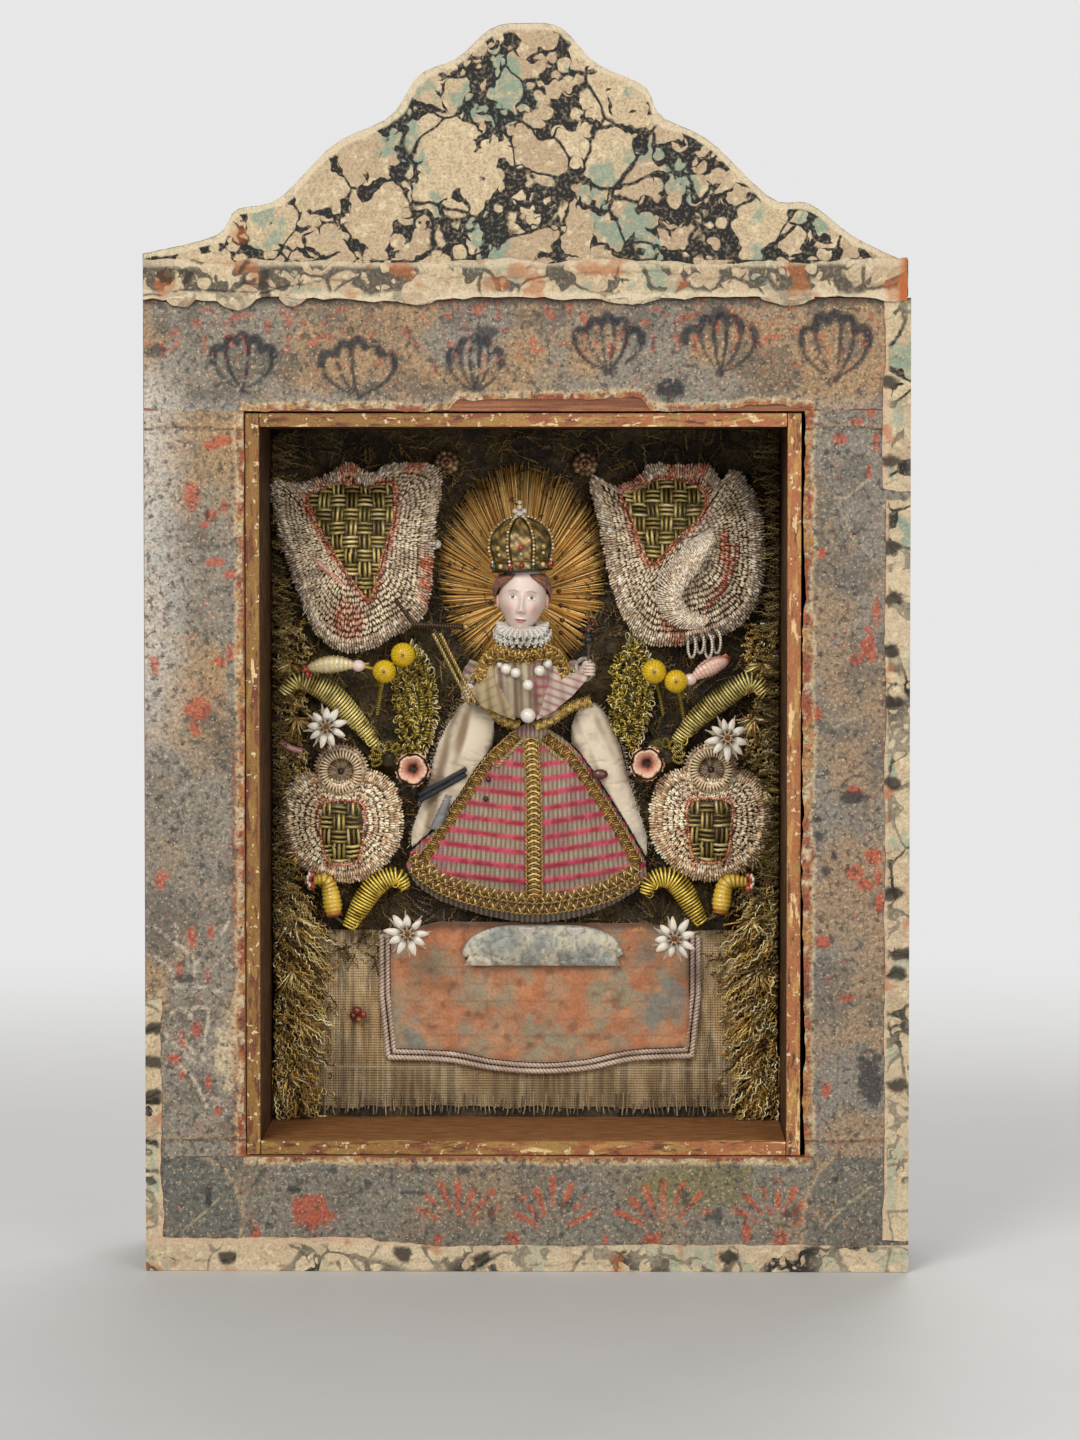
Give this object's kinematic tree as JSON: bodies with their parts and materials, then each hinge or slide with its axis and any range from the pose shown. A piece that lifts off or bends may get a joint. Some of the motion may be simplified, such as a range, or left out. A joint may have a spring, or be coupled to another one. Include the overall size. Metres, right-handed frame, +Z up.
{
  "type": "reliquary shadow box",
  "caption": "Papered wooden devotional shadow box with a scrolled pediment, an inner gilded tray, and a small dressed figure among wire and bead flowers above a bare parchment label.",
  "frame": {"origin": "middle of the footprint, on the surface that the box stands on", "axes": "+Z up, the open front faces -Y, +X to the right seen from the front"},
  "size_m": [0.23, 0.0612, 0.375],
  "materials": {
    "raw_wood": "planed, stained softwood",
    "grey_paper": "wood board under blue-grey block-printed paper, matte",
    "marbled_paper": "marbled paper strip, worn",
    "marbled_board": "wood board under marbled paper, worn edges",
    "gilded_wood": "rubbed gilding over red-brown ground",
    "moss_ground": "board under dark olive moss and crimped wire",
    "linen": "open plain weave",
    "parchment": "stained parchment, bare",
    "silver_cord": "tarnished silver-wrapped twisted cord",
    "satin": "cream and blue-grey satin",
    "silk": "faded silk",
    "striped_silk": "ribbed silk with crimson stripes",
    "lace": "white pleated lace",
    "gold_braid": "gold-wrapped braid",
    "gilt_metal": "thin gilt sheet and wire",
    "gilt_wire": "tarnished gilt wire and wrapped chenille",
    "dark_wire": "dark wound wire",
    "wax": "tinted wax, soft sheen",
    "pearl": "pearl-coated glass",
    "bead": "opaque cream and coral seed beads on wire",
    "yellow_glaze": "opaque yellow glazed berry",
    "white_petal": "white petals with peach tips"
  },
  "bodies": {
    "root": {"case_bottom": "raw_wood", "case_top": "raw_wood", "case_left": "raw_wood", "case_right": "raw_wood", "back_panel": "raw_wood", "face_bottom_rail": "grey_paper", "face_top_rail": "grey_paper", "face_left_stile": "grey_paper", "face_right_stile": "grey_paper", "edge_strip_bottom": "marbled_paper", "edge_strip_right": "marbled_paper", "edge_strip_left": "marbled_paper", "tray_left": "gilded_wood", "tray_right": "gilded_wood", "tray_bottom": "gilded_wood", "tray_top": "gilded_wood", "tray_back": "moss_ground", "pediment": "marbled_board", "linen_panel": "linen", "label_panel": "parchment", "label_cord": "silver_cord", "pedestal": "satin", "fringe_left": "gilt_wire", "fringe_right": "gilt_wire", "halo": "gilt_metal", "skirt": "striped_silk", "braid_front": "gold_braid", "braid_left": "gold_braid", "braid_right": "gold_braid", "mantle_left": "satin", "mantle_right": "satin", "wire_rolls": "dark_wire", "bodice": "silk", "shoulder_braid": "gold_braid", "sleeve_left": "silk", "sleeve_right": "silk", "sceptre": "dark_wire", "cross_staff": "dark_wire", "head": "wax", "crown": "gilt_metal", "ruff": "lace", "pearl_string": "pearl", "tulip_left": "bead", "tulip_left_weave": "gilt_wire", "tulip_right": "bead", "tulip_right_weave": "gilt_wire", "pomegranate_left": "bead", "pomegranate_left_weave": "gilt_wire", "pomegranate_right": "bead", "pomegranate_right_weave": "gilt_wire", "spray_left": "gilt_wire", "spray_right": "gilt_wire", "lower_leaf_left": "gilt_wire", "lower_leaf_right": "gilt_wire", "sprig_left": "yellow_glaze", "sprig_right": "yellow_glaze", "star_flower_left_upper": "white_petal", "star_flower_right_upper": "white_petal", "star_flower_left_lower": "white_petal", "star_flower_right_lower": "white_petal"}
  },
  "joints": []
}
